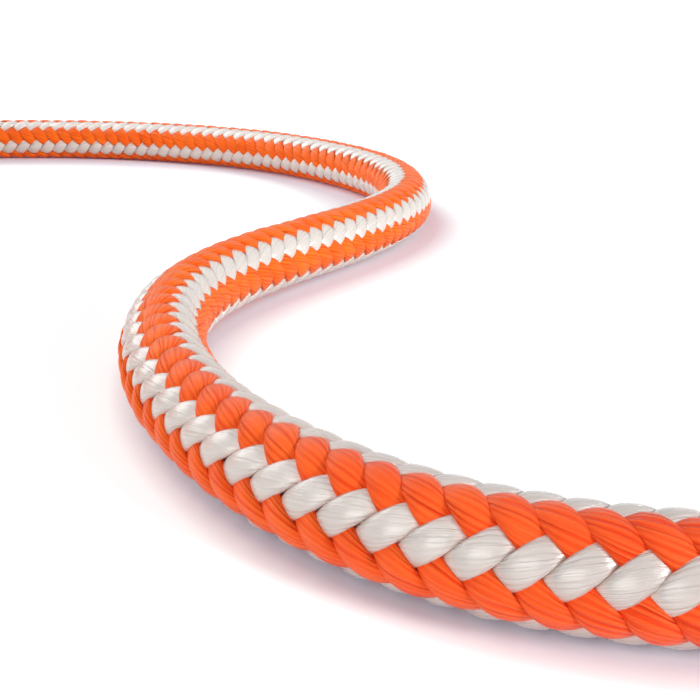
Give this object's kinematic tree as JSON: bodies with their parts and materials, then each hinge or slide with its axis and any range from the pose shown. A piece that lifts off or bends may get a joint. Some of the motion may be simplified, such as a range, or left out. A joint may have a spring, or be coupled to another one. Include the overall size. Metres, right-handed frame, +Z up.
{
  "type": "dynamic climbing rope",
  "caption": "Short length of kernmantle dynamic climbing rope with a two-colour braided cover, laid in an open curve and wound into a tied round coil.",
  "frame": {"origin": "middle of the whole part's footprint, on the surface that it lies on", "axes": "+Z up from the surface, +X from the tied coil towards the open end of the rope, +Y across, away from the open end"},
  "size_m": [0.2859, 0.223, 0.0438],
  "materials": {
    "cover": "braided nylon yarn, orange and off-white, satin",
    "core": "twisted undyed nylon yarn",
    "tape": "plain marker tape",
    "sleeve": "plain shrunk tube, satin black",
    "seal": "melted nylon",
    "tie": "woven hook-and-loop strap, black"
  },
  "bodies": {
    "root": {"cover_free": "cover", "cover_coil": "cover", "core_strand_1": "core", "core_strand_2": "core", "core_strand_3": "core", "core_strand_4": "core", "core_strand_5": "core", "core_strand_6": "core", "core_strand_7": "core", "marker_tape": "tape", "core_coil": "core", "end_sleeve_near": "sleeve", "end_seal_near": "seal", "end_sleeve_far": "sleeve", "end_seal_far": "seal", "tie_band_1": "tie", "tie_band_2": "tie", "tie_band_3": "tie"}
  },
  "joints": []
}
